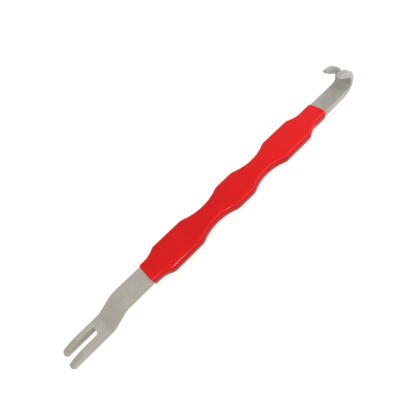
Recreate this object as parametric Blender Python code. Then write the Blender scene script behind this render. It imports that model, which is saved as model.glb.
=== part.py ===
"""Electrical-connector pry bar: one flat steel bar with a forked, stepped tip at one end and a slotted hook at the
other, its middle dipped in a glossy red vinyl grip with three lobes.

Metres, +Z up. The tool lies the way it rests on a bench: on the heel of the forked tip and on the grip's edge at the
hook end. +X runs from the forked tip to the hook, +Y across the bar. The bar is drawn along its own straight axis
(the tool axis, x = 0 at the grip's fork-side end) and then tilted by REST_TILT and dropped onto the bench plane.
"""
import bpy
import bmesh
import math
from mathutils import Matrix, Vector

# ---------------------------------------------------------------- driving dimensions (metres)
BAR_W = 0.0121            # width of the bare bar
BAR_T = 0.0048            # thickness of the plate that it is cut from
EDGE_C = 0.00035          # broken edge on the bar's long corners

# grip and hidden tang, along the tool axis
GRIP_LEN = 0.1494
NECK_A_END = 0.0036       # the fork-side neck ends, the first lobe's ramp starts
LOBE1_A, LOBE1_B = 0.0120, 0.0350
LOBE2_A, LOBE2_B = 0.0638, 0.0782
LOBE3_A, LOBE3_B = 0.1066, 0.1300
NECK_B_START = 0.1396     # the last lobe's ramp ends, the hook-side neck starts
GAP = 0.0003              # clearance drawn between the steel and the coat
COAT_WALL = 0.0008       # wall of the vinyl coat
GRIP_R = 0.0024           # rounding along the grip's long edges
GRIP_R_END = 0.0016       # the same, at the grip's two necks
BLEND = 0.0016            # half length over which the outline's corners are blended
TANG_NECK_HW = BAR_W / 2 - 0.0001
TANG_LOBE_HW = 0.00915
TANG_WAIST_HW = 0.00572

# stepped fork
STEP_START = 0.0181       # from the grip's end to the first bend, on the centre line
STEP_ANGLE = math.radians(26.6)
STEP_R_UP = 0.0090        # centre-line radius of the upper, softer bend
STEP_R_LO = 0.0031        # centre-line radius of the lower, sharp bend
STEP_DROP = 0.0064        # offset of the fork below the bar
FORK_TIP_X = 0.0598       # from the grip's end to the tips
FORK_W = 0.0124           # the fork is spread a little when its tips are forged down
FORK_SLOT_LEN = 0.0208
FORK_SLOT_W = 0.0048
FORK_ROOT_L = 0.0014      # depth of the slot's rounded root
FORK_TIP_T = 0.0028       # thickness left at the very tip
FORK_TAPER = 0.0110       # length of the tip's top bevel
FORK_CORNER_R = 0.0014
FORK_INNER_R = 0.0007

# hook and claw
SHANK_END = 0.1708        # where the hook's bend starts
HOOK_R1, HOOK_A1 = 0.0030, math.radians(100.0)    # inner radius and angle of the tight bend
HOOK_R2, HOOK_A2 = 0.0110, math.radians(55.0)     # inner radius and angle of the opening curve
CLAW_LEN = 0.0077         # straight length after the bends
CLAW_SLOT_W = 0.0047
CLAW_SLOT_LEN = 0.0178    # from the shorter prong's tip back to the slot's root
CLAW_ROOT_L = 0.0020
CLAW_EXTRA = 0.0020       # how much longer the prong on the -Y side is
THIN = 0.0022             # how much the bend is drawn down on its inner face, and where that starts and ends
THIN_IN_A, THIN_IN_B, THIN_OUT_A, THIN_OUT_B = 0.0005, 0.0075, 0.0105, 0.0220
CLAW_FLARE = 0.0007       # how far each prong is spread at its tip
CLAW_TIP_T = 0.0013
CLAW_TAPER_IN = 0.0160     # length of the taper on the hook's inner face
CLAW_TAPER_OUT = 0.0085    # length of the taper on its outer face
CLAW_CORNER_R = 0.0016
CLAW_INNER_R = 0.0007

STEEL = (0.40, 0.39, 0.37, 1.0)
RED = (0.68, 0.012, 0.016, 1.0)


def clear_scene():
    for ob in list(bpy.data.objects):
        bpy.data.objects.remove(ob, do_unlink=True)


def material(name, color, metallic, roughness):
    m = bpy.data.materials.new(name)
    m.use_nodes = True
    b = m.node_tree.nodes["Principled BSDF"]
    b.inputs["Base Color"].default_value = color
    b.inputs["Metallic"].default_value = metallic
    b.inputs["Roughness"].default_value = roughness
    m.diffuse_color = color
    return m


# ---------------------------------------------------------------- outlines
def ease(x, xa, xb, ya, yb):
    """A concave ramp: level at xa, steepest at xb."""
    t = min(max((x - xa) / (xb - xa), 0.0), 1.0)
    return ya + (yb - ya) * t * t


def scallop(x, a, b, crest, waist):
    """A circular hollow of the given depth between two crests."""
    half, sag = (b - a) / 2, crest - waist
    r = (half * half + sag * sag) / (2 * sag)
    return waist + r - math.sqrt(max(r * r - (x - (a + b) / 2) ** 2, 0.0))


def tang_outline(x):
    """Half width of the steel under the grip, before its corners are blended."""
    if x <= NECK_A_END or x >= NECK_B_START:
        return TANG_NECK_HW
    if x < LOBE1_A:
        return ease(x, NECK_A_END, LOBE1_A, TANG_NECK_HW, TANG_LOBE_HW)
    if x > LOBE3_B:
        return ease(-x, -NECK_B_START, -LOBE3_B, TANG_NECK_HW, TANG_LOBE_HW)
    if LOBE1_B < x < LOBE2_A:
        return scallop(x, LOBE1_B, LOBE2_A, TANG_LOBE_HW, TANG_WAIST_HW)
    if LOBE2_B < x < LOBE3_A:
        return scallop(x, LOBE2_B, LOBE3_A, TANG_LOBE_HW, TANG_WAIST_HW)
    return TANG_LOBE_HW


def tang_half_width(x):
    """Half width of the steel under the grip: three lobes with two waists."""
    k = [x + BLEND * i / 5 for i in range(-5, 6)]
    return sum(tang_outline(v) for v in k) / len(k)


def spaced(a, b, n):
    return [a + (b - a) * i / n for i in range(n + 1)]


def grip_stations():
    """Places along the grip where both the tang and the coat have a cross-section."""
    xs = [0.0] + spaced(0.0020, LOBE1_A + 0.0020, 7) + spaced(LOBE1_B - 0.0020, LOBE2_A + 0.0020, 18)
    xs += spaced(LOBE2_B - 0.0020, LOBE3_A + 0.0020, 18) + spaced(LOBE3_B - 0.0020, NECK_B_START + 0.0016, 7)
    xs += [GRIP_LEN]
    return xs


# ---------------------------------------------------------------- centre line of the bent bar
SLOPE_LEN = (STEP_DROP - (STEP_R_UP + STEP_R_LO) * (1 - math.cos(STEP_ANGLE))) / math.sin(STEP_ANGLE)
S_UP = STEP_START
S_SLOPE = S_UP + STEP_R_UP * STEP_ANGLE
S_LO = S_SLOPE + SLOPE_LEN
S_FLAT = S_LO + STEP_R_LO * STEP_ANGLE
X_FLAT = STEP_START + (STEP_R_UP + STEP_R_LO) * math.sin(STEP_ANGLE) + SLOPE_LEN * math.cos(STEP_ANGLE)
S_TIP = S_FLAT + FORK_TIP_X - X_FLAT

RC1, RC2 = HOOK_R1 + BAR_T / 2, HOOK_R2 + BAR_T / 2
H_1 = SHANK_END
H_2 = H_1 + RC1 * HOOK_A1
H_3 = H_2 + RC2 * HOOK_A2
H_TIP = H_3 + CLAW_LEN
ROOT_H = H_TIP - CLAW_SLOT_LEN


def arc_point(cx, cz, r, a):
    return cx + r * math.sin(a), cz - r * math.cos(a)


def frame_at(s):
    """Point, tangent angle of the centre line at the developed length s (negative on the fork's side)."""
    if s < 0:
        d = -s
        if d <= S_UP:
            return (-d, 0.0, 0.0)
        if d <= S_SLOPE:
            a = (d - S_UP) / STEP_R_UP
            return (-STEP_START - STEP_R_UP * math.sin(a), -STEP_R_UP * (1 - math.cos(a)), a)
        x0 = -STEP_START - STEP_R_UP * math.sin(STEP_ANGLE)
        z0 = -STEP_R_UP * (1 - math.cos(STEP_ANGLE))
        if d <= S_LO:
            k = d - S_SLOPE
            return (x0 - k * math.cos(STEP_ANGLE), z0 - k * math.sin(STEP_ANGLE), STEP_ANGLE)
        if d <= S_FLAT:
            a = STEP_ANGLE - (d - S_LO) / STEP_R_LO
            return (-X_FLAT + STEP_R_LO * math.sin(a), -STEP_DROP + STEP_R_LO * (1 - math.cos(a)), a)
        return (-X_FLAT - (d - S_FLAT), -STEP_DROP, 0.0)
    if s <= H_1:
        return (s, 0.0, 0.0)
    if s <= H_2:
        a = (s - H_1) / RC1
        x, z = arc_point(SHANK_END, RC1, RC1, a)
        return (x, z, a)
    x1, z1 = arc_point(SHANK_END, RC1, RC1, HOOK_A1)
    cx, cz = x1 - RC2 * math.sin(HOOK_A1), z1 + RC2 * math.cos(HOOK_A1)
    if s <= H_3:
        a = HOOK_A1 + (s - H_2) / RC2
        x, z = arc_point(cx, cz, RC2, a)
        return (x, z, a)
    a = HOOK_A1 + HOOK_A2
    x, z = arc_point(cx, cz, RC2, a)
    return (x + (s - H_3) * math.cos(a), z + (s - H_3) * math.sin(a), a)


def place(s, y, h):
    """A point of the bent bar: developed length s, across y, height h above the centre plane."""
    x, z, a = frame_at(s)
    return Vector((x - h * math.sin(a), y, z + h * math.cos(a)))


# ---------------------------------------------------------------- steel bar
def round_in(d, r):
    """How far an edge has moved in at a distance d from a rounded end of radius r."""
    if d >= r:
        return 0.0
    return r - math.sqrt(max(r * r - (r - d) ** 2, 0.0))


def fork_section(s):
    """(inner edge, outer edge, top, bottom) of a prong near the forked tip: its top face bevels down to the tip."""
    d = S_TIP + s
    root = S_TIP - FORK_SLOT_LEN
    k = max(0.0, 1 - d / FORK_TAPER)
    top = BAR_T / 2 - (BAR_T - FORK_TIP_T) * (0.25 * k + 0.75 * k * k)
    inner = slot_half(-s - root, FORK_SLOT_W, FORK_ROOT_L) + round_in(d, FORK_INNER_R)
    return inner, fork_half_width(s) - round_in(d, FORK_CORNER_R), top, -BAR_T / 2


def fork_half_width(s):
    """The bar widens a little between the step and the fork."""
    t = min(max((-s - S_SLOPE) / (S_FLAT - S_SLOPE), 0.0), 1.0)
    return BAR_W / 2 + (FORK_W - BAR_W) / 2 * t * t * (3 - 2 * t)


def smooth(t):
    t = min(max(t, 0.0), 1.0)
    return t * t * (3 - 2 * t)


def thinned(s):
    """How far the hook's inner face lies back from the bar's: the bend is drawn down thinner than the bar."""
    d = s - H_1
    rise = smooth((d - THIN_IN_A) / (THIN_IN_B - THIN_IN_A))
    return THIN * rise * (1 - smooth((d - THIN_OUT_A) / (THIN_OUT_B - THIN_OUT_A)))


def claw_section(s, tip):
    """(inner edge, outer edge, inner face, outer face) of a prong of the hook: spread and thinned to its tip."""
    d = tip - s
    ki, ko = max(0.0, 1 - d / CLAW_TAPER_IN), max(0.0, 1 - d / CLAW_TAPER_OUT)
    half_cut = (BAR_T - CLAW_TIP_T) / 2
    face_in, face_out = BAR_T / 2 - half_cut * ki ** 1.5 - thinned(s), -BAR_T / 2 + half_cut * ko ** 1.5
    out = CLAW_FLARE * max(0.0, (s - ROOT_H) / (H_TIP - ROOT_H)) ** 2
    inner = slot_half(s - ROOT_H, CLAW_SLOT_W, CLAW_ROOT_L) + out + round_in(d, CLAW_INNER_R)
    return inner, BAR_W / 2 + out - round_in(d, CLAW_CORNER_R), face_in, face_out


def slot_half(d, width, depth):
    """Half width of a slot with an elliptical root of the given depth, at a distance d past the root."""
    if d >= depth:
        return width / 2
    return width / 2 * math.sqrt(max(1 - (1 - d / depth) ** 2, 0.0))


def full_ring(bm, s, hw, top, bot):
    """Ten corners of an unslotted section, with its long edges broken, and a vertex on the middle of each face."""
    c = EDGE_C
    pts = [(hw, bot + c), (hw, top - c), (hw - c, top), (0, top), (-hw + c, top), (-hw, top - c), (-hw, bot + c),
           (-hw + c, bot), (0, bot), (hw - c, bot)]
    return [bm.verts.new(place(s, y, h)) for y, h in pts]


def prong_ring(bm, s, side, hw, inner, top, bot):
    """Six corners of one prong, in the order of the half of a full section that it continues."""
    c = EDGE_C
    pts = [(inner, bot), (hw - c, bot), (hw, bot + c), (hw, top - c), (hw - c, top), (inner, top)]
    return [bm.verts.new(place(s, side * y, h)) for y, h in pts]


def half_of(ring, side):
    """The half of a full section, from the middle of the bottom face round the edge to the middle of the top one."""
    order = [8, 9, 0, 1, 2, 3] if side > 0 else [8, 7, 6, 5, 4, 3]
    return [ring[i] for i in order]


def bridge(bm, a, b, closed=True):
    n = len(a)
    for i in range(n if closed else n - 1):
        j = (i + 1) % n
        bm.faces.new((a[i], a[j], b[j], b[i]))


def prong(bm, root_ring, side, stations, section):
    """One prong from the ring at the slot's root out to its tip."""
    prev = half_of(root_ring, side)
    first = True
    for s in stations:
        inner, hw, top, bot = section(s)
        ring = prong_ring(bm, s, side, hw, inner, top, bot)
        if first:
            bridge(bm, prev, ring, closed=False)
            bm.faces.new((prev[0], prev[5], ring[5], ring[0]))
            first = False
        else:
            bridge(bm, prev, ring)
        prev = ring
    bm.faces.new(prev)


def quarter(r, n):
    """Distances past a round root that give an even semicircle."""
    return [r * (1 - math.cos(math.pi / 2 * i / n)) for i in range(1, n + 1)]


def steel_bar(mat):
    bm = bmesh.new()
    root_f = -(S_TIP - FORK_SLOT_LEN)
    # the unslotted bar, from the fork's root to the claw's root
    st = [root_f]
    st += [-S_FLAT + (S_FLAT - S_LO) * i / 5 for i in range(0, 6)]
    st += [-S_SLOPE + (S_SLOPE - S_UP) * i / 6 for i in range(0, 7)]
    st += grip_stations()
    st += spaced(H_1, H_2, 16) + spaced(H_2, ROOT_H, 5)[1:]
    rings = []
    for s in st:
        hw = tang_half_width(s) if 0 <= s <= GRIP_LEN else (fork_half_width(s) if s < 0 else BAR_W / 2)
        rings.append(full_ring(bm, s, hw, BAR_T / 2 - thinned(s), -BAR_T / 2))
    for a, b in zip(rings[:-1], rings[1:]):
        bridge(bm, a, b)
    # fork
    near = [root_f - d for d in quarter(FORK_ROOT_L, 6)]
    taper = [-(S_TIP - FORK_TAPER * k) for k in (1.0, 0.85, 0.7, 0.55, 0.4, 0.27)]
    tips = [-(S_TIP - FORK_CORNER_R * k) for k in (1.0, 0.6, 0.3, 0.12, 0.03, 0.0)]
    for side in (1, -1):
        prong(bm, rings[0], side, near + taper + tips, fork_section)
    # claw
    near = [ROOT_H + d for d in quarter(CLAW_ROOT_L, 6)]
    for side, tip in ((1, H_TIP), (-1, H_TIP + CLAW_EXTRA)):
        bend = spaced(near[-1], H_3, 7)[1:]
        taper = [tip - CLAW_TAPER_OUT * k for k in (0.86, 0.72, 0.58, 0.44, 0.3)]
        rest = sorted(v for v in bend + taper if v > near[-1] + 3e-4)
        rest = [v for i, v in enumerate(rest) if i == 0 or v > rest[i - 1] + 2e-4]
        tips = [tip - CLAW_CORNER_R * k for k in (1.0, 0.6, 0.3, 0.12, 0.03, 0.0)]
        prong(bm, rings[-1], side, near + rest + tips, lambda s, tip=tip: claw_section(s, tip))
    bmesh.ops.recalc_face_normals(bm, faces=bm.faces)
    return finish(bm, "steel_bar", mat)


# ---------------------------------------------------------------- vinyl grip
def grip_radius(x):
    """Rounding of the coat's edges: tighter at the necks, where the coat was trimmed."""
    d = min(x, GRIP_LEN - x)
    t = min(max((d - NECK_A_END) / (LOBE1_A - NECK_A_END), 0.0), 1.0)
    return GRIP_R_END + (GRIP_R - GRIP_R_END) * t * t * (3 - 2 * t)


def outer_ring(bm, x, hw, hh, r, n=5):
    """A rounded rectangle across the tool axis."""
    vs = []
    for k, (sy, sz) in enumerate(((1, -1), (1, 1), (-1, 1), (-1, -1))):
        start = (-math.pi / 2, 0.0, math.pi / 2, math.pi)[k]
        for i in range(n + 1):
            a = start + math.pi / 2 * i / n
            vs.append(bm.verts.new((x, sy * (hw - r) + r * math.cos(a), sz * (hh - r) + r * math.sin(a))))
    return vs


def vinyl_grip(mat):
    bm = bmesh.new()
    off = GAP + COAT_WALL
    outer, inner = [], []
    xs = grip_stations()
    lip = 0.0004
    for x in xs:
        hw = tang_half_width(x)
        inner.append(outer_ring(bm, x, hw + GAP, BAR_T / 2 + GAP, EDGE_C + GAP))
    ox = [(0.0, 0.7), (lip, 1.0)] + [(x, 1.0) for x in xs[1:-1]] + [(GRIP_LEN - lip, 1.0), (GRIP_LEN, 0.7)]
    for x, k in ox:
        hw = tang_half_width(x)
        outer.append(outer_ring(bm, x, hw + GAP + COAT_WALL * k, BAR_T / 2 + GAP + COAT_WALL * k,
                                grip_radius(x)))
    for ring in (outer, inner):
        for a, b in zip(ring[:-1], ring[1:]):
            bridge(bm, a, b)
    bridge(bm, outer[0], inner[0])
    bridge(bm, outer[-1], inner[-1])
    bmesh.ops.recalc_face_normals(bm, faces=bm.faces)
    return finish(bm, "vinyl_grip", mat)


def finish(bm, name, mat):
    me = bpy.data.meshes.new(name)
    bm.to_mesh(me)
    bm.free()
    for p in me.polygons:
        p.use_smooth = True
    me.materials.append(mat)
    ob = bpy.data.objects.new(name, me)
    bpy.context.collection.objects.link(ob)
    return ob


# ---------------------------------------------------------------- lay the tool on the bench
def rest_matrix(objects):
    """Tilt about Y so that the heel of the fork and the grip's hook-side edge touch the bench, then drop and centre."""
    grip_bottom = BAR_T / 2 + GAP + COAT_WALL
    lip = 0.0004
    heel = (-X_FLAT, -STEP_DROP - BAR_T / 2)
    end = (GRIP_LEN - lip, -grip_bottom)
    tilt = math.atan2(end[1] - heel[1], end[0] - heel[0])
    rot = Matrix.Rotation(tilt, 4, "Y")
    pts = [rot @ v.co for ob in objects for v in ob.data.vertices]
    lo = Vector((min(p.x for p in pts), min(p.y for p in pts), min(p.z for p in pts)))
    hi = Vector((max(p.x for p in pts), max(p.y for p in pts), max(p.z for p in pts)))
    return Matrix.Translation((-(lo.x + hi.x) / 2, -(lo.y + hi.y) / 2, -lo.z)) @ rot


def build():
    clear_scene()
    steel = material("steel", STEEL, 1.0, 0.38)
    vinyl = material("red_vinyl", RED, 0.0, 0.16)
    parts = [steel_bar(steel), vinyl_grip(vinyl)]
    frame = bpy.data.objects.new("bench_pose", None)
    bpy.context.collection.objects.link(frame)
    frame.matrix_world = rest_matrix(parts)
    for ob in parts:
        ob.parent = frame
    bpy.context.view_layer.update()


build()
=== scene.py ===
import math

import bmesh
import bpy
from mathutils import Euler, Matrix, Quaternion, Vector, noise


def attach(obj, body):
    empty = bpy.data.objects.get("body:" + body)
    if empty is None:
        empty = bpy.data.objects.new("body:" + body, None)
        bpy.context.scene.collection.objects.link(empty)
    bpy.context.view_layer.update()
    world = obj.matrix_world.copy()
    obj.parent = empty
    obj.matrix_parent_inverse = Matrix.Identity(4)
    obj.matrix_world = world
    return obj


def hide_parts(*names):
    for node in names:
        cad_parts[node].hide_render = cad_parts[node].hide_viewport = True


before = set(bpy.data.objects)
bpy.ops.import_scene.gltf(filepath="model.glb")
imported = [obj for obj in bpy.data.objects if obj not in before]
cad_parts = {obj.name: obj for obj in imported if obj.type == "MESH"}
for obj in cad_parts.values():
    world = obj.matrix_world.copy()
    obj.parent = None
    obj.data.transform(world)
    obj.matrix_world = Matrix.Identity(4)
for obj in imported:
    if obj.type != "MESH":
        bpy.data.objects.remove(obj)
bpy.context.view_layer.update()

# ------------------------------------------------------------------ the tool's dimensions, as in the CAD (metres)
BAR_W, BAR_T = 0.0121, 0.0048
GRIP_LEN = 0.1494
NECK_A_END = 0.0036
LOBE1_A, LOBE1_B = 0.0120, 0.0350
LOBE2_A, LOBE2_B = 0.0638, 0.0782
LOBE3_A, LOBE3_B = 0.1066, 0.1300
NECK_B_START = 0.1396
GAP, COAT_WALL = 0.0003, 0.0008
GRIP_R, GRIP_R_END = 0.0026, 0.0022
BLEND = 0.0016
TANG_NECK_HW, TANG_LOBE_HW, TANG_WAIST_HW = BAR_W / 2 - 0.0001, 0.00915, 0.00572

STEP_START, STEP_ANGLE = 0.0181, math.radians(26.6)
STEP_R_UP, STEP_R_LO, STEP_DROP = 0.0090, 0.0031, 0.0064
FORK_TIP_X, FORK_W = 0.0598, 0.0124
FORK_SLOT_LEN, FORK_SLOT_W, FORK_ROOT_L = 0.0208, 0.0048, 0.0014
FORK_TIP_T, FORK_TAPER, FORK_CORNER_R, FORK_INNER_R = 0.0028, 0.0110, 0.0014, 0.0007

SHANK_END = 0.1708
HOOK_R1, HOOK_A1 = 0.0030, math.radians(100.0)
HOOK_R2, HOOK_A2 = 0.0110, math.radians(55.0)
CLAW_LEN, CLAW_SLOT_W, CLAW_SLOT_LEN, CLAW_ROOT_L, CLAW_EXTRA = 0.0077, 0.0047, 0.0178, 0.0020, 0.0020
THIN, THIN_IN_A, THIN_IN_B, THIN_OUT_A, THIN_OUT_B = 0.0022, 0.0005, 0.0075, 0.0105, 0.0220
CLAW_FLARE, CLAW_TIP_T = 0.0007, 0.0013
CLAW_TAPER_IN, CLAW_TAPER_OUT = 0.0160, 0.0085
CLAW_CORNER_R, CLAW_INNER_R = 0.0016, 0.0007

# how the tool lies on the bench: tilted about Y, then moved
BENCH = Matrix.Translation((-0.059325, 0.0, 0.007818)) @ Matrix.Rotation(math.radians(1.66128), 4, "Y")

EDGE_R = 0.00042          # rounding of the steel's long edges
LEVELS = 4                # steps in each edge's rounding


# ------------------------------------------------------------------ outlines and centre line
def ease(x, xa, xb, ya, yb):
    t = min(max((x - xa) / (xb - xa), 0.0), 1.0)
    return ya + (yb - ya) * t * t


def scallop(x, a, b, crest, waist):
    half, sag = (b - a) / 2, crest - waist
    r = (half * half + sag * sag) / (2 * sag)
    return waist + r - math.sqrt(max(r * r - (x - (a + b) / 2) ** 2, 0.0))


def tang_outline(x):
    if x <= NECK_A_END or x >= NECK_B_START:
        return TANG_NECK_HW
    if x < LOBE1_A:
        return ease(x, NECK_A_END, LOBE1_A, TANG_NECK_HW, TANG_LOBE_HW)
    if x > LOBE3_B:
        return ease(-x, -NECK_B_START, -LOBE3_B, TANG_NECK_HW, TANG_LOBE_HW)
    if LOBE1_B < x < LOBE2_A:
        return scallop(x, LOBE1_B, LOBE2_A, TANG_LOBE_HW, TANG_WAIST_HW)
    if LOBE2_B < x < LOBE3_A:
        return scallop(x, LOBE2_B, LOBE3_A, TANG_LOBE_HW, TANG_WAIST_HW)
    return TANG_LOBE_HW


def tang_half_width(x):
    k = [x + BLEND * i / 7 for i in range(-7, 8)]
    return sum(tang_outline(v) for v in k) / len(k)


def smooth(t):
    t = min(max(t, 0.0), 1.0)
    return t * t * (3 - 2 * t)


def spaced(a, b, n):
    return [a + (b - a) * i / n for i in range(n + 1)]


def between(a, b, step):
    """Even stations from a to b, about step apart, without a itself."""
    n = max(1, math.ceil(abs(b - a) / step))
    return [a + (b - a) * i / n for i in range(1, n + 1)]


SLOPE_LEN = (STEP_DROP - (STEP_R_UP + STEP_R_LO) * (1 - math.cos(STEP_ANGLE))) / math.sin(STEP_ANGLE)
S_UP = STEP_START
S_SLOPE = S_UP + STEP_R_UP * STEP_ANGLE
S_LO = S_SLOPE + SLOPE_LEN
S_FLAT = S_LO + STEP_R_LO * STEP_ANGLE
X_FLAT = STEP_START + (STEP_R_UP + STEP_R_LO) * math.sin(STEP_ANGLE) + SLOPE_LEN * math.cos(STEP_ANGLE)
S_TIP = S_FLAT + FORK_TIP_X - X_FLAT

RC1, RC2 = HOOK_R1 + BAR_T / 2, HOOK_R2 + BAR_T / 2
H_1 = SHANK_END
H_2 = H_1 + RC1 * HOOK_A1
H_3 = H_2 + RC2 * HOOK_A2
H_TIP = H_3 + CLAW_LEN
ROOT_F = -(S_TIP - FORK_SLOT_LEN)
ROOT_H = H_TIP - CLAW_SLOT_LEN


def frame_at(s):
    """Point and tangent angle of the bent centre line at the developed length s."""
    if s < 0:
        d = -s
        if d <= S_UP:
            return (-d, 0.0, 0.0)
        if d <= S_SLOPE:
            a = (d - S_UP) / STEP_R_UP
            return (-STEP_START - STEP_R_UP * math.sin(a), -STEP_R_UP * (1 - math.cos(a)), a)
        x0 = -STEP_START - STEP_R_UP * math.sin(STEP_ANGLE)
        z0 = -STEP_R_UP * (1 - math.cos(STEP_ANGLE))
        if d <= S_LO:
            k = d - S_SLOPE
            return (x0 - k * math.cos(STEP_ANGLE), z0 - k * math.sin(STEP_ANGLE), STEP_ANGLE)
        if d <= S_FLAT:
            a = STEP_ANGLE - (d - S_LO) / STEP_R_LO
            return (-X_FLAT + STEP_R_LO * math.sin(a), -STEP_DROP + STEP_R_LO * (1 - math.cos(a)), a)
        return (-X_FLAT - (d - S_FLAT), -STEP_DROP, 0.0)
    if s <= H_1:
        return (s, 0.0, 0.0)
    if s <= H_2:
        a = (s - H_1) / RC1
        return (SHANK_END + RC1 * math.sin(a), RC1 * (1 - math.cos(a)), a)
    x1, z1 = SHANK_END + RC1 * math.sin(HOOK_A1), RC1 * (1 - math.cos(HOOK_A1))
    cx, cz = x1 - RC2 * math.sin(HOOK_A1), z1 + RC2 * math.cos(HOOK_A1)
    if s <= H_3:
        a = HOOK_A1 + (s - H_2) / RC2
        return (cx + RC2 * math.sin(a), cz - RC2 * math.cos(a), a)
    a = HOOK_A1 + HOOK_A2
    return (cx + RC2 * math.sin(a) + (s - H_3) * math.cos(a), cz - RC2 * math.cos(a) + (s - H_3) * math.sin(a), a)


def bulge(s, y, h):
    """A bent plate is squeezed out sideways on the inside of a tight bend and drawn in on its outside."""
    k = smooth((s - H_1 + 0.002) / 0.004) * (1 - smooth((s - H_2 + 0.003) / 0.006))
    k2 = 0.5 * smooth((-s - S_LO + 0.002) / 0.0025) * (1 - smooth((-s - S_FLAT) / 0.0025))
    return y * (1 + (0.028 * k + 0.016 * k2) * h / (BAR_T / 2))


def place(s, y, h):
    x, z, a = frame_at(s)
    return BENCH @ Vector((x - h * math.sin(a), bulge(s, y, h), z + h * math.cos(a)))


# ------------------------------------------------------------------ sections of the steel
def fork_faces(s):
    k = max(0.0, 1 - (S_TIP + s) / FORK_TAPER)
    return BAR_T / 2 - (BAR_T - FORK_TIP_T) * (0.25 * k + 0.75 * k * k), -BAR_T / 2


def thinned(s):
    """How far the hook's inner face lies back: the bend is drawn down thinner than the bar."""
    d = s - H_1
    rise = smooth((d - THIN_IN_A) / (THIN_IN_B - THIN_IN_A))
    return THIN * rise * (1 - smooth((d - THIN_OUT_A) / (THIN_OUT_B - THIN_OUT_A)))


def claw_faces(s, tip):
    d = tip - s
    ki, ko = max(0.0, 1 - d / CLAW_TAPER_IN), max(0.0, 1 - d / CLAW_TAPER_OUT)
    cut = (BAR_T - CLAW_TIP_T) / 2
    return BAR_T / 2 - cut * ki ** 1.5 - thinned(s), -BAR_T / 2 + cut * ko ** 1.5


def bar_faces(s):
    if s < ROOT_F:
        return fork_faces(s)
    return BAR_T / 2 - thinned(s), -BAR_T / 2


def fork_half_width(s):
    return BAR_W / 2 + (FORK_W - BAR_W) / 2 * smooth((-s - S_SLOPE) / (S_FLAT - S_SLOPE))


def claw_out(s):
    return CLAW_FLARE * max(0.0, (s - ROOT_H) / (H_TIP - ROOT_H)) ** 2


def bar_half_width(s):
    if s < 0:
        return fork_half_width(s)
    if s > H_1:
        return BAR_W / 2 + claw_out(s)
    if 0 <= s <= GRIP_LEN:
        return tang_half_width(s)
    return BAR_W / 2


# ------------------------------------------------------------------ mesh kit: plates with rounded edges
class Plate:
    """A plate drawn flat as (s, y, h): its outline is a list of boundary points with outward normals, its two faces
    are height functions, and its edges are rounded. Each vertex remembers its flat coordinates."""

    def __init__(self, place_fn, faces_fn, radius_fn, wall=3):
        self.bm = bmesh.new()
        self.dev = self.bm.verts.layers.float_vector.new("dev")
        self.place, self.faces, self.radius, self.wall = place_fn, faces_fn, radius_fn, wall

    def vert(self, s, y, h):
        v = self.bm.verts.new(self.place(s, y, h))
        v[self.dev] = (s, y, h)
        return v

    def profile(self, s, y, ns, ny):
        """Vertices from the bottom face, round the edge, up the wall, round the edge and onto the top face."""
        top, bot = self.faces(s)
        r = min(self.radius(s), 0.42 * (top - bot))
        out = []
        for k in range(LEVELS + 1):
            a = math.pi / 2 * (1 - k / LEVELS)
            e, d = r * (1 - math.cos(a)), r * (1 - math.sin(a))
            out.append((e, "bot", d))
        rows = []
        for e, _, d in out:
            ss = s - ns * e
            rows.append((ss, y - ny * e, self.faces(ss)[1] + d))
        lo, hi = bot + r, top - r
        for k in range(1, self.wall):
            rows.append((s, y, lo + (hi - lo) * k / self.wall))
        for e, _, d in reversed(out):
            ss = s - ns * e
            rows.append((ss, y - ny * e, self.faces(ss)[0] - d))
        return [self.vert(*r3) for r3 in rows]

    def columns(self, a, b, n, face):
        """Vertices across a face between two of its edge vertices, without them."""
        pa, pb = a[self.dev], b[self.dev]
        out = []
        for i in range(1, n):
            t = i / n
            s, y = pa[0] + (pb[0] - pa[0]) * t, pa[1] + (pb[1] - pa[1]) * t
            out.append(self.vert(s, y, self.faces(s)[face]))
        return out

    def strip(self, a, b, flip=False):
        for i in range(len(a) - 1):
            q = (a[i], a[i + 1], b[i + 1], b[i])
            if len(set(q)) == 4:
                self.bm.faces.new(q)
            else:
                u = []
                for v in q:
                    if v not in u:
                        u.append(v)
                if len(u) == 3:
                    self.bm.faces.new(u)


def normal_of(poly, i, left):
    """Outward normal of a polyline of (s, y) points; left: the outside is on the left of the way it runs."""
    a, b = poly[max(i - 1, 0)], poly[min(i + 1, len(poly) - 1)]
    ts, ty = b[0] - a[0], b[1] - a[1]
    k = math.hypot(ts, ty)
    return (-ty / k, ts / k) if left else (ty / k, -ts / k)


NC = 5      # columns across half of a face


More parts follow.
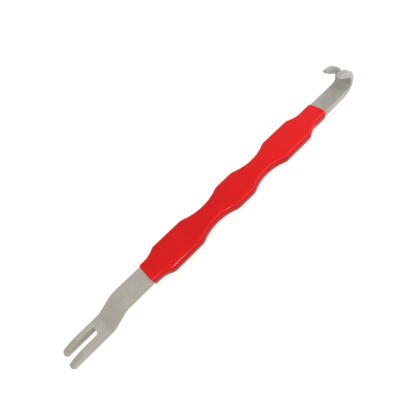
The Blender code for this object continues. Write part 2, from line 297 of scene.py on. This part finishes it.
def build_steel():
    p = Plate(place, bar_faces, lambda s: EDGE_R)
    # stations of the unslotted bar
    st = [ROOT_F]
    for a, b, step in ((ROOT_F, -S_FLAT - 0.0004, 0.0006), (-S_FLAT - 0.0004, -S_LO + 0.0004, 0.00022),
                       (-S_LO + 0.0004, -S_SLOPE, 0.0009), (-S_SLOPE, -S_UP, 0.0004), (-S_UP, 0.0, 0.0011),
                       (0.0, GRIP_LEN, 0.0012), (GRIP_LEN, H_1, 0.0011), (H_1, ROOT_H, 0.00035)):
        st += between(a, b, step)
    outer = [(s, bar_half_width(s)) for s in st]
    full = []
    for i, (s, y) in enumerate(outer[1:-1], 1):
        ns, ny = normal_of(outer, i, True)
        row = {}
        for side in (1, -1):
            row[side] = p.profile(s, side * y, ns, side * ny)
        tm, bm_ = p.vert(s, 0.0, p.faces(s)[0]), p.vert(s, 0.0, p.faces(s)[1])
        for side in (1, -1):
            row["t", side] = [row[side][-1]] + p.columns(row[side][-1], tm, NC, 0) + [tm]
            row["b", side] = [row[side][0]] + p.columns(row[side][0], bm_, NC, 1) + [bm_]
        full.append(row)
    for a, b in zip(full[:-1], full[1:]):
        for side in (1, -1):
            p.strip(a[side], b[side])
            p.strip(a["t", side], b["t", side])
            p.strip(a["b", side], b["b", side])

    def prong_pairs(root, tip, depth, half, r_in, r_out, flare, hw, sgn):
        """(inner s, y, ns, ny), (outer s, y) pairs from the slot's root to the tip; sgn is the way to the tip."""
        inner, out = [], []
        n0 = 10
        for j in range(n0 + 1):
            a = math.pi / 2 * j / n0
            d = depth * (1 - math.cos(a))
            ns, ny = math.cos(a) / depth, -math.sin(a) / half
            k = math.hypot(ns, ny)
            s = root + sgn * d
            inner.append((s, half * math.sin(a) + flare(s), sgn * ns / k, ny / k))
            out.append(root + sgn * depth * j / n0)
        si, so = root + sgn * depth, root + sgn * depth
        ei, eo = tip - sgn * r_in, tip - sgn * r_out
        n1 = max(4, round(abs(ei - si) / 0.0006))
        for j in range(1, n1 + 1):
            s = si + (ei - si) * j / n1
            g = (flare(s + 1e-5) - flare(s - 1e-5)) / 2e-5
            k = math.hypot(g, 1.0)
            inner.append((s, half + flare(s), g / k, -1 / k))
            out.append(so + (eo - so) * j / n1)
        n2 = 8
        for j in range(1, n2 + 1):
            a = math.pi / 2 * j / n2
            s = tip - sgn * r_in * (1 - math.sin(a))
            inner.append((s, half + flare(s) + r_in * (1 - math.cos(a)), sgn * math.sin(a), -math.cos(a)))
            out.append(tip - sgn * r_out * (1 - math.sin(a)))
        pairs = []
        for j, so_ in enumerate(out):
            d = abs(tip - so_)
            cut = r_out - math.sqrt(max(r_out ** 2 - (r_out - d) ** 2, 0.0)) if d < r_out else 0.0
            pairs.append((inner[j], (so_, hw(so_) - cut)))
        return pairs, n2

    def prongs(row, shapes, sgn):
        """Both prongs; shapes gives each side's (pairs, n2) and faces. They share the profile at the slot's root."""
        apex = None
        for side in (1, -1):
            (pairs, n2), p.faces = shapes[side]
            outline = [o for _, o in pairs]
            prev = {"o": row[side], "t": row["t", side], "b": row["b", side], "i": None}
            for j, (inn, out) in enumerate(pairs):
                if j == 0 and apex is not None:
                    ip = apex
                else:
                    ns, ny = (sgn, 0.0) if j == 0 else (inn[2], inn[3])
                    ip = p.profile(inn[0], side * inn[1], ns, side * ny)
                    if j == 0:
                        apex = ip
                if j >= len(pairs) - n2:
                    a = math.pi / 2 * (j - (len(pairs) - n2) + 1) / n2
                    ns, ny = sgn * math.sin(a), math.cos(a)
                else:
                    ns, ny = normal_of(outline, j, sgn > 0)
                op = p.profile(out[0], side * out[1], ns, side * ny)
                last = j == len(pairs) - 1
                if last:
                    walls = [ip]
                    for k in range(1, NC):
                        t = k / NC
                        y = inn[1] + (out[1] - inn[1]) * t
                        walls.append(p.profile(inn[0], side * y, sgn, 0.0))
                    walls.append(op)
                    top = [w[-1] for w in reversed(walls)]
                    bot = [w[0] for w in reversed(walls)]
                    for wa, wb in zip(walls[:-1], walls[1:]):
                        p.strip(wa, wb)
                else:
                    top = [op[-1]] + p.columns(op[-1], ip[-1], NC, 0) + [ip[-1]]
                    bot = [op[0]] + p.columns(op[0], ip[0], NC, 1) + [ip[0]]
                p.strip(prev["o"], op)
                p.strip(prev["t"], top)
                p.strip(prev["b"], bot)
                if prev["i"] is not None:
                    p.strip(prev["i"], ip)
                prev = {"o": op, "t": top, "b": bot, "i": ip}

    fork = prong_pairs(ROOT_F, -S_TIP, FORK_ROOT_L, FORK_SLOT_W / 2, FORK_INNER_R, FORK_CORNER_R,
                       lambda s: 0.0, bar_half_width, -1)
    prongs(full[0], {1: (fork, bar_faces), -1: (fork, bar_faces)}, -1)
    claw = {}
    for side, tip in ((1, H_TIP), (-1, H_TIP + CLAW_EXTRA)):
        shape = prong_pairs(ROOT_H, tip, CLAW_ROOT_L, CLAW_SLOT_W / 2, CLAW_INNER_R, CLAW_CORNER_R,
                            claw_out, bar_half_width, 1)
        claw[side] = (shape, lambda s, tip=tip: claw_faces(s, tip))
    prongs(full[-1], claw, 1)
    return p.bm


def grip_radius(x):
    d = min(x, GRIP_LEN - x)
    return GRIP_R_END + (GRIP_R - GRIP_R_END) * smooth((d - NECK_A_END) / (LOBE1_A - NECK_A_END))


def build_grip():
    bm = bmesh.new()
    dev = bm.verts.layers.float_vector.new("dev")
    n_arc, n_top, n_wall = 8, 14, 3
    off, hh = GAP + COAT_WALL, BAR_T / 2 + GAP + COAT_WALL

    def rounded_end(x, y):
        """The trimmed ends bow out a little in the middle and are rounded at their corners."""
        d = GRIP_LEN - x
        reach = 0.0022
        if x > GRIP_LEN / 2:
            return x - 0.0011 * min(1.0, abs(y) / 0.0071) ** 3 * max(0.0, 1 - d / reach)
        return x + 0.0005 * min(1.0, abs(y) / 0.0071) ** 4 * max(0.0, 1 - x / reach)

    def ring(x, y, ns, ny, h, r, crown=0.0):
        """One loop round the coat: an edge profile on each side and columns across each flat."""
        prof = []
        for k in range(n_arc + 1):
            a = math.pi / 2 * k / n_arc
            prof.append((r * (1 - math.sin(a)), r * (1 - math.cos(a))))     # (inset, distance below the face), top of arc last
        side = []
        for e, d in prof:                       # bottom face to wall
            side.append((x - ns * e, y - ny * e, -h + d))
        for k in range(1, n_wall):
            side.append((x, y, -h + r + (2 * h - 2 * r) * k / n_wall))
        for e, d in reversed(prof):             # wall to top face
            side.append((x - ns * e, y - ny * e, h - d))
        pts = list(side)
        xe, ye, ze = side[-1]
        for k in range(1, n_top):
            t = k / n_top
            pts.append((xe, ye * (1 - 2 * t), ze + crown * (1 - (1 - 2 * t) ** 2)))
        pts += [(px, -py, pz) for px, py, pz in reversed(side)]
        for k in range(1, n_top):
            t = k / n_top
            pts.append((xe, -ye * (1 - 2 * t), -ze))
        vs = []
        for px, py, pz in pts:
            px = rounded_end(px, py)
            v = bm.verts.new(BENCH @ Vector((px, py, pz)))
            v[dev] = (px, py, pz)
            vs.append(v)
        return vs

    def loft(a, b):
        n = len(a)
        for i in range(n):
            j = (i + 1) % n
            bm.faces.new((a[i], a[j], b[j], b[i]))

    def slope(f, x):
        g = (f(x + 2e-4) - f(x - 2e-4)) / 4e-4
        k = math.hypot(g, 1.0)
        return -g / k, 1 / k

    outer = []
    lip, n_lip = 0.00035, 5
    half = lambda x: tang_half_width(x) + off
    for j in range(n_lip):
        a = math.pi / 2 * j / n_lip
        e, x = lip * (1 - math.sin(a)), lip * (1 - math.cos(a))
        outer.append(ring(x, half(x) - e, 0, 1, hh - e, max(grip_radius(x) - e, 0.0004)))
    xs = [lip] + between(lip, GRIP_LEN - lip, 0.0007)
    for x in xs:
        ns, ny = slope(half, x)
        swell = 0.00005 * smooth((min(x, GRIP_LEN - x) - 0.002) / 0.01)
        outer.append(ring(x, half(x), ns, ny, hh, grip_radius(x), swell))
    for j in reversed(range(n_lip)):
        a = math.pi / 2 * j / n_lip
        e, x = lip * (1 - math.sin(a)), GRIP_LEN - lip * (1 - math.cos(a))
        outer.append(ring(x, half(x) - e, 0, 1, hh - e, max(grip_radius(x) - e, 0.0004)))
    inner = []
    for x in [0.0, 0.0008, 0.0025, 0.0035] + between(0.0035, GRIP_LEN - 0.0035, 0.0016) + [GRIP_LEN - 0.0025, GRIP_LEN - 0.0008, GRIP_LEN]:
        d = min(x, GRIP_LEN - x)
        c = 0.00003 + (GAP - 0.00003) * smooth((d - 0.0008) / 0.002)
        inner.append(ring(x, tang_half_width(x) + c, 0, 1, BAR_T / 2 + c, EDGE_R + c * 0.5))
    for a, b in zip(outer[:-1], outer[1:]):
        loft(a, b)
    for a, b in zip(inner[:-1], inner[1:]):
        loft(a, b)
    loft(outer[0], inner[0])
    loft(outer[-1], inner[-1])
    return bm


def wave(p, size, seed):
    return noise.noise(Vector((p[0] / size + seed, p[1] / size - seed, p[2] / size + 2 * seed)))


def make_object(name, bm, mat, relief):
    bmesh.ops.recalc_face_normals(bm, faces=bm.faces)
    bm.normal_update()
    dev = bm.verts.layers.float_vector["dev"]
    moves = [(v, v.normal.copy() * relief(v[dev], v)) for v in bm.verts]
    for v, m in moves:
        v.co += m
    me = bpy.data.meshes.new(name)
    bm.to_mesh(me)
    bm.free()
    for f in me.polygons:
        f.use_smooth = True
    me.materials.append(mat)
    ob = bpy.data.objects.new(name, me)
    bpy.context.scene.collection.objects.link(ob)
    wn = ob.modifiers.new("even_faces", "WEIGHTED_NORMAL")
    wn.mode = "FACE_AREA"
    wn.weight = 50
    wn.keep_sharp = False
    return ob


# ------------------------------------------------------------------ materials
class Nodes:
    """Short hand for node trees."""

    def __init__(self, name):
        self.mat = bpy.data.materials.new(name)
        self.mat.use_nodes = True
        self.nt = self.mat.node_tree
        self.bsdf = self.nt.nodes["Principled BSDF"]

    def new(self, kind, **props):
        n = self.nt.nodes.new(kind)
        for k, v in props.items():
            setattr(n, k, v)
        return n

    def link(self, a, b):
        self.nt.links.new(a, b)

    def put(self, sock, v):
        if isinstance(v, (int, float, tuple, list)):
            sock.default_value = v
        else:
            self.link(v, sock)

    def dev(self):
        return self.new("ShaderNodeAttribute", attribute_name="dev").outputs["Vector"]

    def scaled(self, vec, sx, sy, sz, ox=0.0, oy=0.0, oz=0.0):
        m = self.new("ShaderNodeMapping")
        self.link(vec, m.inputs["Vector"])
        m.inputs["Scale"].default_value = (sx, sy, sz)
        m.inputs["Location"].default_value = (ox, oy, oz)
        return m.outputs["Vector"]

    def noise(self, vec, scale=1.0, detail=2.0, rough=0.5, distortion=0.0):
        n = self.new("ShaderNodeTexNoise")
        self.link(vec, n.inputs["Vector"])
        n.inputs["Scale"].default_value = scale
        n.inputs["Detail"].default_value = detail
        n.inputs["Roughness"].default_value = rough
        n.inputs["Distortion"].default_value = distortion
        return n.outputs["Fac"]

    def voronoi(self, vec, scale=1.0, feature="F1"):
        n = self.new("ShaderNodeTexVoronoi", feature=feature)
        self.link(vec, n.inputs["Vector"])
        n.inputs["Scale"].default_value = scale
        return n.outputs["Distance"]

    def math(self, op, a, b=0.0, c=0.0, clamp=False):
        n = self.new("ShaderNodeMath", operation=op, use_clamp=clamp)
        self.put(n.inputs[0], a)
        self.put(n.inputs[1], b)
        if len(n.inputs) > 2:
            self.put(n.inputs[2], c)
        return n.outputs[0]

    def span(self, v, a, b, lo=0.0, hi=1.0, kind="SMOOTHSTEP"):
        n = self.new("ShaderNodeMapRange", interpolation_type=kind)
        self.put(n.inputs["Value"], v)
        n.inputs["From Min"].default_value = a
        n.inputs["From Max"].default_value = b
        n.inputs["To Min"].default_value = lo
        n.inputs["To Max"].default_value = hi
        return n.outputs["Result"]

    def mix(self, fac, a, b, mode="MIX"):
        n = self.new("ShaderNodeMix", data_type="RGBA", blend_type=mode)
        self.put(n.inputs["Factor"], fac)
        self.put(n.inputs["A"], a)
        self.put(n.inputs["B"], b)
        return n.outputs["Result"]

    def bump(self, height, strength, distance, under=None):
        n = self.new("ShaderNodeBump")
        n.inputs["Strength"].default_value = strength
        n.inputs["Distance"].default_value = distance
        self.link(height, n.inputs["Height"])
        if under is not None:
            self.link(under, n.inputs["Normal"])
        return n.outputs["Normal"]

    def xyz(self, vec):
        n = self.new("ShaderNodeSeparateXYZ")
        self.link(vec, n.inputs[0])
        return n.outputs


def steel_material():
    m = Nodes("steel_look")
    d = m.dev()
    s, y, h = m.xyz(d)
    # tone: slow cloudiness of the blasted plate, fine speckle on top of it
    cloud = m.noise(d, 260.0, 3.0, 0.55)
    fine = m.noise(d, 2600.0, 2.0, 0.6)
    speck = m.noise(d, 7000.0, 1.0, 0.5)
    tone = m.math("ADD", m.math("MULTIPLY", cloud, 0.55), m.math("MULTIPLY", fine, 0.3))
    tone = m.math("ADD", tone, m.math("MULTIPLY", speck, 0.15))
    base = m.mix(m.span(tone, 0.38, 0.62), (0.47, 0.44, 0.395, 1), (0.53, 0.505, 0.46, 1))
    # colours by place: a warmer slope, a cooler fork, darker bend
    slope = m.math("MULTIPLY", m.span(s, -S_FLAT - 0.001, -S_FLAT + 0.002), m.span(s, -S_UP + 0.002, -S_SLOPE - 0.001))
    base = m.mix(m.math("MULTIPLY", slope, 0.55), base, (0.46, 0.405, 0.355, 1))
    fork = m.span(s, -S_FLAT - 0.001, -S_FLAT - 0.006)
    base = m.mix(m.math("MULTIPLY", fork, 0.45), base, (0.53, 0.51, 0.44, 1))
    # painted shade: the sheared side walls between the fork's tapered tips and the grip are painted a touch darker
    # than the faces
    shaded_fork_walls = m.math("MULTIPLY", m.span(m.math("ABSOLUTE", h), BAR_T / 2 - 0.0002, BAR_T / 2 - 0.0005),
                     m.math("MULTIPLY", m.span(s, -S_TIP + FORK_TAPER, -S_TIP + FORK_TAPER + 0.004), m.span(s, 0.004, 0.0)))
    base = m.mix(m.math("MULTIPLY", shaded_fork_walls, 0.5), base, (0.46, 0.445, 0.395, 1))
    # grinding lines: along the hook, across the fork's bevel
    along = m.noise(m.scaled(d, 90.0, 4200.0, 4200.0), 1.0, 3.0, 0.6)
    across = m.noise(m.scaled(d, 3600.0, 120.0, 120.0, 3.0), 1.0, 3.0, 0.6)
    coarse = m.noise(m.scaled(d, 40.0, 1050.0, 1050.0, 7.0), 1.0, 1.0, 0.5)
    hook = m.span(s, H_1 - 0.004, H_1 + 0.003)
    # painted light: the shank and hook are painted lighter than the rest of the bar
    base = m.mix(m.math("MULTIPLY", m.span(s, GRIP_LEN, H_1), 0.75), base, (0.555, 0.545, 0.525, 1))
    outside = m.span(h, 0.0006, -0.0008)
    shade = m.math("MULTIPLY", m.span(coarse, 0.50, 0.62),
                   m.math("ADD", 0.10, m.math("MULTIPLY", m.math("MULTIPLY", hook, outside), 0.55)))
    base = m.mix(shade, base, (0.34, 0.325, 0.30, 1))
    tips = m.span(s, -S_TIP + FORK_TAPER + 0.002, -S_TIP + FORK_TAPER - 0.003)
    lines = m.math("ADD", m.math("MULTIPLY", m.math("SUBTRACT", along, 0.5), m.math("ADD", 0.25, m.math("MULTIPLY", hook, 0.75))),
                   m.math("MULTIPLY", m.math("SUBTRACT", across, 0.5), m.math("MULTIPLY", tips, 0.9)))
    dark = m.span(lines, 0.02, 0.30)
    base = m.mix(m.math("MULTIPLY", dark, 0.5), base, (0.26, 0.24, 0.21, 1))
    m.link(base, m.bsdf.inputs["Base Color"])
    m.bsdf.inputs["Metallic"].default_value = 1.0
    rough = m.span(m.math("ADD", m.math("MULTIPLY", cloud, 0.6), m.math("MULTIPLY", fine, 0.4)), 0.3, 0.7, 0.44, 0.56, "LINEAR")
    rough = m.math("SUBTRACT", rough, m.math("MULTIPLY", tips, 0.05))
    # the hook's inside keeps the dull scale that the belt didn't reach
    dull = m.math("MULTIPLY", m.span(s, GRIP_LEN + 0.004, H_1), m.span(h, -0.0012, 0.0002))
    rough = m.math("ADD", rough, m.math("MULTIPLY", dull, 0.30))
    # tumbled edges are matt
    tumbled = m.math("MULTIPLY", m.span(m.math("ABSOLUTE", h), BAR_T / 2 - 0.00002, BAR_T / 2 - 0.00010), m.span(s, H_1, GRIP_LEN))
    rough = m.math("ADD", rough, m.math("MULTIPLY", tumbled, 0.28))
    m.link(rough, m.bsdf.inputs["Roughness"])
    n = m.bump(lines, 0.35, 0.00006)
    n = m.bump(m.math("ADD", m.math("MULTIPLY", fine, 0.7), m.math("MULTIPLY", speck, 0.3)), 0.30, 0.00005, n)
    m.link(n, m.bsdf.inputs["Normal"])
    return m.mat


def vinyl_material():
    m = Nodes("red_vinyl_look")
    d = m.dev()
    cloud = m.noise(d, 120.0, 2.0, 0.5)
    fine = m.noise(d, 900.0, 2.0, 0.5)
    tone = m.math("ADD", m.math("MULTIPLY", cloud, 0.7), m.math("MULTIPLY", fine, 0.3))
    base = m.mix(m.span(tone, 0.35, 0.65), (0.425, 0.001, 0.0015, 1), (0.475, 0.0015, 0.002, 1))
    # painted light: the coat is painted lighter towards the hook end
    x, y, z = m.xyz(d)
    base = m.mix(m.span(x, 0.02, 0.16), base, (0.54, 0.004, 0.005, 1))
    # painted shade: the rounded sides are painted a deeper, darker red than the faces
    side = m.span(m.math("ABSOLUTE", z), 0.0033, 0.0018)
    base = m.mix(m.math("MULTIPLY", side, 0.8), base, (0.27, 0.0006, 0.0008, 1))
    m.link(base, m.bsdf.inputs["Base Color"])
    m.bsdf.inputs["Specular IOR Level"].default_value = 0.18
    rough = m.span(m.noise(d, 420.0, 3.0, 0.6), 0.3, 0.7, 0.045, 0.10, "LINEAR")
    m.link(rough, m.bsdf.inputs["Roughness"])
    n = m.bump(m.noise(d, 520.0, 1.0, 0.4), 0.12, 0.00012)
    n = m.bump(m.noise(d, 2400.0, 2.0, 0.5), 0.05, 0.00003, n)
    m.link(n, m.bsdf.inputs["Normal"])
    return m.mat


def floor_material():
    m = Nodes("floor_look")
    tc = m.new("ShaderNodeTexCoord").outputs["Object"]
    base = m.mix(m.noise(tc, 3.0, 2.0, 0.5), (0.26, 0.26, 0.25, 1), (0.275, 0.275, 0.265, 1))
    m.link(base, m.bsdf.inputs["Base Color"])
    m.bsdf.inputs["Roughness"].default_value = 0.9
    m.bsdf.inputs["Specular IOR Level"].default_value = 0.1
    m.bsdf.inputs["Emission Color"].default_value = (1.0, 1.0, 0.975, 1)
    m.bsdf.inputs["Emission Strength"].default_value = 0.81
    return m.mat


# ------------------------------------------------------------------ the pieces
steel_mat, vinyl_mat = steel_material(), vinyl_material()


def steel_relief(p, v):
    ends = max(smooth((p[0] - H_1 + 0.006) / 0.01), smooth((-p[0] - S_FLAT + 0.004) / 0.01))
    return (0.000006 + 0.000012 * ends) * wave(p, 0.0048, 1.7) + 0.000008 * wave(p, 0.011, 5.1) - 0.00002


def vinyl_relief(p, v):
    inside = abs(p[1]) < tang_half_width(p[0]) + GAP + 0.0001 and abs(p[2]) < BAR_T / 2 + GAP + 0.0001
    if inside:
        return 0.0
    edge = smooth(min(p[0], GRIP_LEN - p[0]) / 0.002)
    return edge * (0.000028 * wave(p, 0.0085, 3.3) + 0.000010 * wave(p, 0.0036, 8.9)) - 0.00003


steel = make_object("steel_bar_look", build_steel(), steel_mat, steel_relief)
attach(steel, "root")
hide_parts("steel_bar")

grip = make_object("vinyl_grip_look", build_grip(), vinyl_mat, vinyl_relief)
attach(grip, "root")
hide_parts("vinyl_grip")

# ------------------------------------------------------------------ floor, light, camera
me = bpy.data.meshes.new("floor")
me.from_pydata([(-3, -3, -0.0001), (3, -3, -0.0001), (3, 3, -0.0001), (-3, 3, -0.0001)], [], [(0, 1, 2, 3)])
floor = bpy.data.objects.new("floor", me)
me.materials.append(floor_material())
bpy.context.scene.collection.objects.link(floor)

world = bpy.data.worlds.new("studio")
bpy.context.scene.world = world
world.use_nodes = True
world.node_tree.nodes["Background"].inputs["Color"].default_value = (1.0, 1.0, 0.985, 1)
world.node_tree.nodes["Background"].inputs["Strength"].default_value = 0.88


def area(name, loc, target, size_x, size_y, power, roll=0.0):
    light = bpy.data.lights.new(name, "AREA")
    light.shape = "RECTANGLE"
    light.size, light.size_y = size_x, size_y
    light.energy = power
    ob = bpy.data.objects.new(name, light)
    bpy.context.scene.collection.objects.link(ob)
    ob.location = loc
    aim = (Vector(target) - Vector(loc)).to_track_quat("-Z", "Y") @ Quaternion((0.0, 0.0, 1.0), roll)
    ob.rotation_euler = aim.to_euler()
    return ob


area("front", (0.18, -0.45, 0.39), (0.02, 0.0, 0.0), 0.95, 0.34, 1.9)
# two more soft lamps light only the glossy coat, so that its edges shine and the steel doesn't glare
coat_only = bpy.data.collections.new("coat_only")
coat_only.objects.link(grip)
for lamp in (area("coat_line", (0.18, -0.45, 0.39), (0.02, 0.0, 0.0), 0.85, 0.12, 1.2),
             area("coat_strip", (-0.054, -0.44, 0.40), (0.0, 0.0, 0.0), 0.12, 0.018, 1.3)):
    lamp.light_linking.receiver_collection = coat_only

cam_data = bpy.data.cameras.new("camera")
cam_data.sensor_fit = "HORIZONTAL"
cam_data.sensor_width = 36.0
cam_data.lens = 25.649
cam_data.clip_start = 0.005
cam = bpy.data.objects.new("camera", cam_data)
bpy.context.scene.collection.objects.link(cam)
cam.location = (-0.04032, -0.08921, 0.15314)
cam.rotation_euler = Euler((math.radians(30.6513), math.radians(15.4637), math.radians(-43.4826)), "XYZ")
bpy.context.scene.camera = cam

bpy.context.scene.view_settings.view_transform = "Standard"
bpy.context.scene.view_settings.look = "None"
